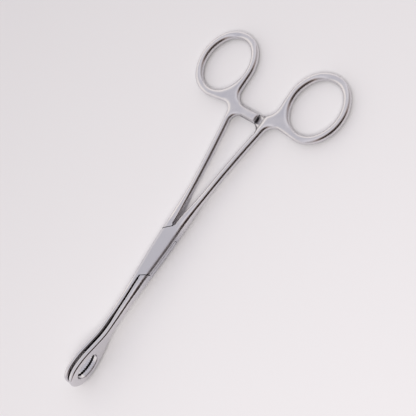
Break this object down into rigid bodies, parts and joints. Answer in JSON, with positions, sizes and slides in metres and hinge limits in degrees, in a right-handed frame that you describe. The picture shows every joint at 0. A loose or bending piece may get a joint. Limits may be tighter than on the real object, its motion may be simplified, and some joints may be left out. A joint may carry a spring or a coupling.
{
  "type": "sponge forceps",
  "caption": "Straight sponge forceps with oval windowed jaws serrated inside, a box lock, a finger-ring handle and a ratchet between the rings.",
  "frame": {"origin": "on the pin axis of the box lock, in the lock's flat underside", "axes": "+X along the instrument towards the finger rings, +Y towards the ring of the male half, +Z along the pin, up when the forceps lie down"},
  "size_m": [0.1799, 0.083, 0.0143],
  "materials": {
    "steel": "satin polished stainless steel"
  },
  "bodies": {
    "box_side": {"box_half": "steel", "lock_pin": "steel"},
    "male_side": {"male_half": "steel"}
  },
  "joints": [
    {"name": "box_lock_hinge", "type": "hinge", "parent": "box_side", "child": "male_side", "pos_m": [0, 0, 0.00275], "axis": [0, 0, 1], "range_deg": [0, 35]}
  ]
}
